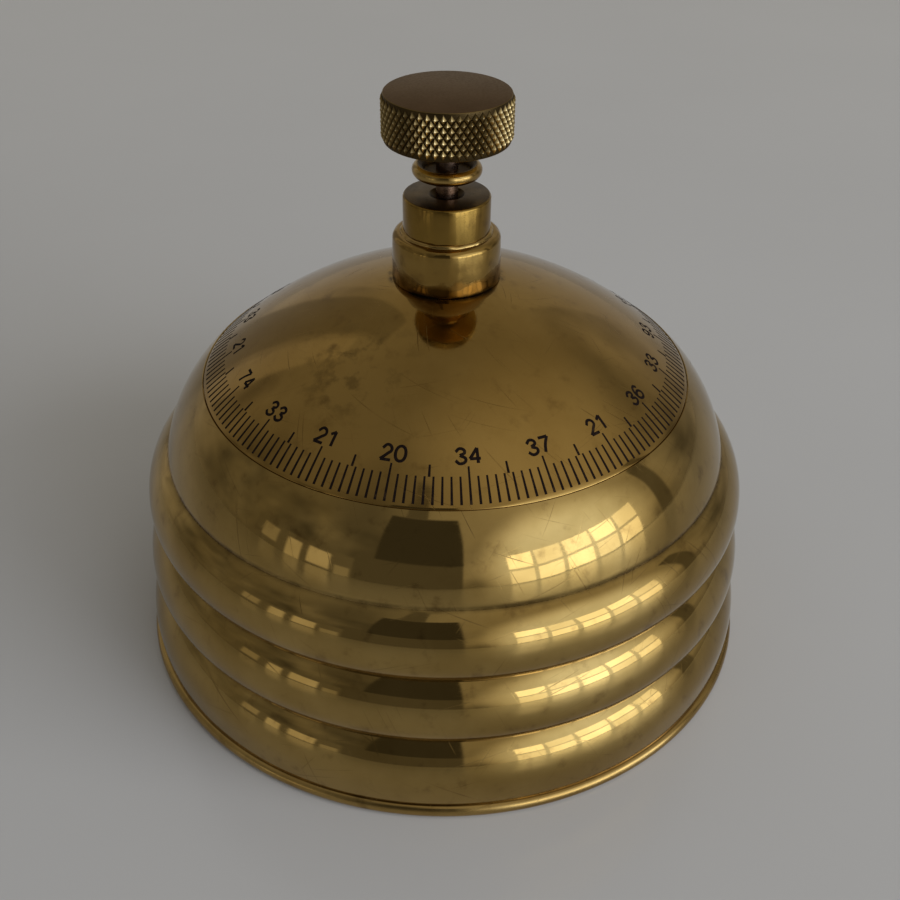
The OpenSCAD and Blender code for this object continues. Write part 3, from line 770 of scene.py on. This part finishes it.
# Painted shade: this brass is darker than the body's, standing in for the dark surroundings the collar
# reflects.
collar_finish = brass("brass_collar", (0.33, 0.21, 0.058, 1), (0.26, 0.155, 0.038, 1),
                      (0.11, 0.06, 0.018, 1), gloss=0.06, girth=0.008, wave=0.5, grime_and_shade=darker_collar_foot,
                      lumps=150.0)
section, tip = begin(neck_r, collar_z)
start = tip
tip = straight_to(section, tip, collar_r - collar_edge, collar_z)
tip = arc_to(section, tip, collar_r, collar_z + collar_edge, collar_edge_bulge, steps=4)
tip = straight_to(section, tip, collar_r - collar_taper, collar_side_z)
tip = arc_to(section, tip, solder_r, collar_top, crown_bulge, steps=12)
tip = straight_to(section, tip, neck_r, collar_top)
close(section, tip, start)
turn(section, steps=192)
put("post_collar", section, collar_finish, "dial", ["collar"], crease=40)


# Sleeve. The upper, narrower ring of the post, turned from brass bar: a lighter chamfer round the top, a
# flat face and a countersunk mouth for the spindle. Its brass is darker than the body's, and its face and
# mouth darker still, all as painted shade. It stands in an uneven bead of solder.
sleeve_r = 6.35
sleeve_top = 74.6
sleeve_chamfer = 0.35
sleeve_chamfer_bulge = 0.06
spigot_z = 67.1
spindle_hole_r = 1.66
mouth = 0.9


def shaded_sleeve_top(tree, place, spots):
    """Painted shade: darkens the flat top inside the chamfer unevenly towards dark brown, and the spindle's
    mouth almost wholly.
    """
    up = height_of(tree, place)
    top = spread(tree, up, (sleeve_top - 0.12) * MM, (sleeve_top - 0.02) * MM)
    top = combine(tree, "MULTIPLY", top, spread(tree, spots, 0.2, 0.7, start=0.60, end=0.85))
    out = distance_out(tree, place)
    widest = spindle_hole_r + mouth
    inside = spread(tree, out, (widest - 0.1) * MM, (widest + 0.2) * MM, start=0.90, end=0.0)
    return combine(tree, "MAXIMUM", top, inside)


# Painted shade: this brass is darker all over than the body's, standing in for the dark surroundings the
# sleeve reflects.
sleeve_finish = brass("brass_sleeve", (0.27, 0.165, 0.038, 1), (0.22, 0.13, 0.026, 1),
                      (0.10, 0.05, 0.015, 1), gloss=0.08, girth=0.0064, grime_and_shade=shaded_sleeve_top, lumps=120.0)
section, tip = begin(spindle_hole_r, spigot_z)
start = tip
tip = straight_to(section, tip, neck_r, spigot_z)
tip = straight_to(section, tip, neck_r, collar_top)
tip = straight_to(section, tip, sleeve_r, collar_top)
tip = straight_to(section, tip, sleeve_r, sleeve_top - sleeve_chamfer)
tip = arc_to(section, tip, sleeve_r - sleeve_chamfer, sleeve_top, sleeve_chamfer_bulge, steps=4)
tip = straight_to(section, tip, spindle_hole_r + mouth, sleeve_top)
tip = straight_to(section, tip, spindle_hole_r, sleeve_top - mouth)
close(section, tip, start)
turn(section, steps=192)
put("post_sleeve", section, sleeve_finish, "dial", ["gland_sleeve"], crease=40)

bead_h = 0.45
bead_bulge = 0.12
bead_tuck = 0.3
bead_sunk = 0.15
bead_gap = 0.02
bead_lumps = ((420, 0.14), (1100, 0.05))
bead_finish = brass("brass_bead", (0.42, 0.29, 0.10, 1), (0.32, 0.20, 0.06, 1), (0.12, 0.07, 0.02, 1),
                    gloss=0.16, girth=0.007, wave=0.8)
section, tip = begin(sleeve_r - bead_tuck, collar_top - bead_sunk)
start = tip
tip = straight_to(section, tip, solder_r, collar_top - bead_sunk)
tip = straight_to(section, tip, solder_r, collar_top)
tip = arc_to(section, tip, sleeve_r + bead_gap, collar_top + bead_h, bead_bulge, steps=8)
tip = straight_to(section, tip, sleeve_r - bead_tuck, collar_top + bead_h)
close(section, tip, start)
turn(section, steps=160)
for corner in section.verts:
    outward = Vector((corner.co.x, corner.co.y, 0)).normalized()
    lump = sum(noise.noise(corner.co * fineness) * size for fineness, size in bead_lumps)
    if corner.co.z > (collar_top + bead_gap) * MM:
        corner.co += outward * lump * MM
        corner.co.z += lump * MM
put("solder_bead", section, bead_finish, "dial", crease=60)


# Spindle. A pinkish bronze rod with a fine thread, riveted over below to hold the clamp pad. It shows
# between the sleeve, the stop ring and the knob.
spindle_r = 1.6
pad_pin_r = 1.0
rivet_z = 50.85
rivet_edge = 0.30
rivet_top = 51.55
shoulder_z = 52.85
spindle_end = 86.6
spindle_finish = brass("bronze_spindle", (0.42, 0.28, 0.19, 1), (0.32, 0.20, 0.13, 1),
                       (0.12, 0.07, 0.04, 1), gloss=0.22, girth=0.0016, wave=0.2)
section, tip = begin(0, rivet_z)
tip = straight_to(section, tip, spindle_r - rivet_edge, rivet_z)
tip = straight_to(section, tip, spindle_r, rivet_z + rivet_edge)
tip = straight_to(section, tip, spindle_r, rivet_top)
tip = straight_to(section, tip, pad_pin_r, rivet_top)
tip = straight_to(section, tip, pad_pin_r, shoulder_z)
tip = straight_to(section, tip, spindle_r, shoulder_z)
tip = straight_to(section, tip, spindle_r, spindle_end)
tip = straight_to(section, tip, 0, spindle_end)
turn(section, steps=96)
put("bronze_spindle", section, spindle_finish, "screw", ["spindle"])


# Stop ring. A dished brass ring pressed on the spindle, with a bright rounded rim, a dark hollow top and a
# small hub below that all but meets the sleeve when the screw is down.
ring_r = 5.0
ring_z = 76.8
ring_edge = 0.30
ring_hub_w = 0.9
hub_hollow = 0.15
ring_rim_z = 77.3
ring_h = 1.9
rim_bulge = 0.855
dish_h = 1.0
dish_slope = 0.9
dish_bulge = 0.15


def darker_dish(tree, place, spots):
    """Darker in the hollow of the ring, a little less in places."""
    up = height_of(tree, place)
    inside = spread(tree, distance_out(tree, place), 4.0 * MM, 4.5 * MM, start=0.97, end=0.0)
    above = spread(tree, up, (ring_rim_z + 0.6) * MM, (ring_rim_z + 0.8) * MM)
    dark = combine(tree, "MULTIPLY", inside, above)
    return combine(tree, "MULTIPLY", dark, spread(tree, spots, 0.2, 0.6, start=0.85))


ring_finish = brass("brass_ring", (0.40, 0.27, 0.085, 1), (0.31, 0.19, 0.055, 1), (0.14, 0.08, 0.03, 1),
                    gloss=0.10, girth=0.005, grime_and_shade=darker_dish)
bead_r = ring_r - rim_bulge
rim_top = ring_rim_z + ring_h
section, tip = begin(spindle_r, ring_z)
start = tip
tip = straight_to(section, tip, spindle_r + ring_edge, ring_z)
tip = arc_to(section, tip, spindle_r + ring_hub_w, ring_rim_z, -hub_hollow, steps=6)
tip = straight_to(section, tip, bead_r, ring_rim_z)
tip = arc_to(section, tip, bead_r, rim_top, rim_bulge, steps=24)
tip = arc_to(section, tip, bead_r - dish_slope, rim_top - dish_h, dish_bulge, steps=8)
tip = straight_to(section, tip, spindle_r, rim_top - dish_h)
close(section, tip, start)
turn(section, steps=144)
put("stop_ring_dished", section, ring_finish, "screw", ["stop_ring"], crease=50)


# Knob. Turned from brass bar and toned brown, with painted shade darkening the top and painted light
# making the underside bright bare brass, a small plain chamfer and a pressed diamond knurl. The tips of the
# diamonds are rubbed bright and the grooves between them hold dark polish.
knob_r = 9.3
knob_z = 82.6
knob_h = 6.7
knurl_count = 52
knurl_rows = 8
knurl_depth = 0.38
knob_chamfer = 0.20
chamfer_bulge = 0.06
tip_flat = 0.10
knurl_margin = 0.01
# Painted shade: the two dark browns of the top face.
shaded_top = (0.092, 0.052, 0.025, 1)
shaded_top_darker = (0.074, 0.040, 0.018, 1)
toned_side = (0.23, 0.160, 0.056, 1)
# Painted light: the bright brass of the underside.
lit_underside_brass = (0.90, 0.70, 0.28, 1)
rubbed_brass = (0.68, 0.53, 0.26, 1)
groove_polish = (0.030, 0.018, 0.007, 1)
grain_depth = 0.04
low_r = knob_r - knurl_depth
face_r = low_r - knob_chamfer
knob_top = knob_z + knob_h
knurl_z = knob_z + knob_chamfer
row_h = (knob_h - 2 * knob_chamfer) / knurl_rows

knob_finish, tree, shader, place = new_finish("brass_knob")
out = distance_out(tree, place)
up = height_of(tree, place)
patches = noise_at(tree, place, scale=170.0, detail=4.0)
fine = noise_at(tree, place, scale=2600.0)
# Painted shade: the top face is much darker brown than the side, in uneven patches.
colour = blend(tree, spread(tree, patches, 0.35, 0.68), shaded_top, shaded_top_darker)
on_side = spread(tree, out, (face_r + 0.05) * MM, (face_r + 0.15) * MM)
colour = blend(tree, combine(tree, "MULTIPLY", on_side, 0.85), colour, toned_side)
# Painted light: the underside is bright bare brass, much lighter than the side.
lit_underside = spread(tree, up, (knob_z + 0.02) * MM, (knob_z + 0.06) * MM, start=1.0, end=0.0)
colour = blend(tree, lit_underside, colour, lit_underside_brass)
groove = spread(tree, out, (low_r + 0.02) * MM, (low_r + 0.14) * MM, start=1.0, end=0.0)
groove = combine(tree, "MULTIPLY", groove, spread(tree, out, (low_r - 0.06) * MM, (low_r - 0.02) * MM))
colour = blend(tree, combine(tree, "MULTIPLY", groove, 0.85), colour, groove_polish)
rubbed = spread(tree, out, (low_r + 0.16) * MM, (knob_r - 0.02) * MM)
colour = blend(tree, rubbed, colour, rubbed_brass)
tree.links.new(colour, shader.inputs["Base Color"])
shader.inputs["Metallic"].default_value = 1.0
shader.inputs["Specular Tint"].default_value = (0.88, 0.80, 0.70, 1)
satin = spread(tree, fine, 0.3, 0.7, start=0.30, end=0.38)
satin = combine(tree, "SUBTRACT", satin, combine(tree, "MULTIPLY", rubbed, 0.16))
tree.links.new(satin, shader.inputs["Roughness"])
grain = add(tree, "ShaderNodeBump", {"Height": fine, "Strength": 0.10, "Distance": grain_depth * MM})
tree.links.new(grain.outputs["Normal"], shader.inputs["Normal"])

section, tip = begin(0, spindle_end)
tip = straight_to(section, tip, spindle_r, spindle_end)
tip = straight_to(section, tip, spindle_r, knob_z)
tip = straight_to(section, tip, face_r, knob_z)
tip = arc_to(section, tip, low_r, knurl_z, chamfer_bulge, steps=3)
for row in range(knurl_rows):
    tip = straight_to(section, tip, low_r, knurl_z + (row + 1) * row_h)
tip = arc_to(section, tip, face_r, knob_top, chamfer_bulge, steps=3)
tip = straight_to(section, tip, 0, knob_top)
turn(section, steps=2 * knurl_count)
peaks = []
for corner in section.verts:
    height = corner.co.z / MM - knurl_z
    on_knurl = abs(hypot(corner.co.x, corner.co.y) - low_r * MM) < hair * MM
    row = round(height / row_h)
    inside = 0 < row < knurl_rows and abs(height - row * row_h) < hair
    column = round(atan2(corner.co.y, corner.co.x) / pi * knurl_count)
    if on_knurl and inside and (row + column) % 2 == 0:
        peaks.append(corner)
for corner in peaks:
    corner.co.x *= knob_r / low_r
    corner.co.y *= knob_r / low_r
low_z = (knurl_z - knurl_margin) * MM
high_z = (knob_top - knob_chamfer + knurl_margin) * MM
least_r = (low_r - knurl_margin) * MM
side_verts = {v for v in section.verts if low_z < v.co.z < high_z and hypot(v.co.x, v.co.y) > least_r}
side_faces = [f for f in section.faces if all(v in side_verts for v in f.verts)]
bmesh.ops.triangulate(section, faces=side_faces, quad_method="SHORT_EDGE")
bmesh.ops.bevel(section, geom=peaks, offset=tip_flat * MM, offset_type="OFFSET", segments=1, profile=0.5,
                affect="VERTICES", material=-1, clamp_overlap=True)
put("knurled_knob", section, knob_finish, "screw", ["knob"], crease=20)


# Fastenings and inner pieces. Seen only from below or with the weight taken apart: oiled steel screws, nut
# and washers, a rough iron ballast ring, a dull lead seal, dark felt, and plainly turned brass and bronze.
relief_height = 0.2


def plain_finish(name, light, dark, metal, rough, scale, relief):
    """A workaday finish: two close colours in patches, uneven gloss and a little relief."""
    finish, tree, shader, place = new_finish(name)
    grain = noise_at(tree, place, scale, detail=5.0)
    patches = noise_at(tree, place, scale * 0.12)
    colour = blend(tree, spread(tree, patches, 0.35, 0.65), light, dark)
    tree.links.new(colour, shader.inputs["Base Color"])
    dull = spread(tree, grain, 0.3, 0.7, start=rough, end=rough * 1.35)
    tree.links.new(dull, shader.inputs["Roughness"])
    shader.inputs["Metallic"].default_value = metal
    inputs = {"Height": grain, "Strength": relief, "Distance": relief_height * MM}
    bump = add(tree, "ShaderNodeBump", inputs)
    tree.links.new(bump.outputs["Normal"], shader.inputs["Normal"])
    return finish


oiled_steel = plain_finish("oiled_steel", (0.46, 0.46, 0.47, 1), (0.34, 0.34, 0.35, 1),
                           metal=1.0, rough=0.28, scale=900.0, relief=0.05)
rough_iron = plain_finish("rough_iron", (0.16, 0.155, 0.15, 1), (0.11, 0.10, 0.10, 1),
                          metal=0.6, rough=0.62, scale=700.0, relief=0.5)
dull_lead = plain_finish("dull_lead", (0.33, 0.34, 0.36, 1), (0.24, 0.25, 0.27, 1),
                         metal=0.8, rough=0.52, scale=500.0, relief=0.3)
dark_felt = plain_finish("dark_felt", (0.075, 0.10, 0.06, 1), (0.05, 0.07, 0.04, 1),
                         metal=0.0, rough=0.92, scale=2500.0, relief=0.8)
inner_brass = plain_finish("inner_brass", (0.52, 0.37, 0.14, 1), (0.42, 0.28, 0.10, 1),
                           metal=1.0, rough=0.26, scale=1200.0, relief=0.06)
inner_bronze = plain_finish("inner_bronze", (0.52, 0.32, 0.19, 1), (0.42, 0.25, 0.14, 1),
                            metal=1.0, rough=0.30, scale=1200.0, relief=0.06)
inner_finishes = {
    "base_screws": oiled_steel, "pillar_screw": oiled_steel, "pillar_washer": oiled_steel,
    "ballast_washer": oiled_steel, "ballast_nut": oiled_steel, "ballast": rough_iron, "seal_disc": dull_lead,
    "dust_ring": dark_felt, "gland_packing": dark_felt, "adjusting_plug": inner_brass, "pillar": inner_brass,
    "dial_hub": inner_brass, "retaining_ring": inner_brass, "thrust_washer": inner_bronze,
    "clamp_pad": inner_bronze,
}
for node, finish in inner_finishes.items():
    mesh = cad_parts[node].data
    mesh.materials.clear()
    mesh.materials.append(finish)
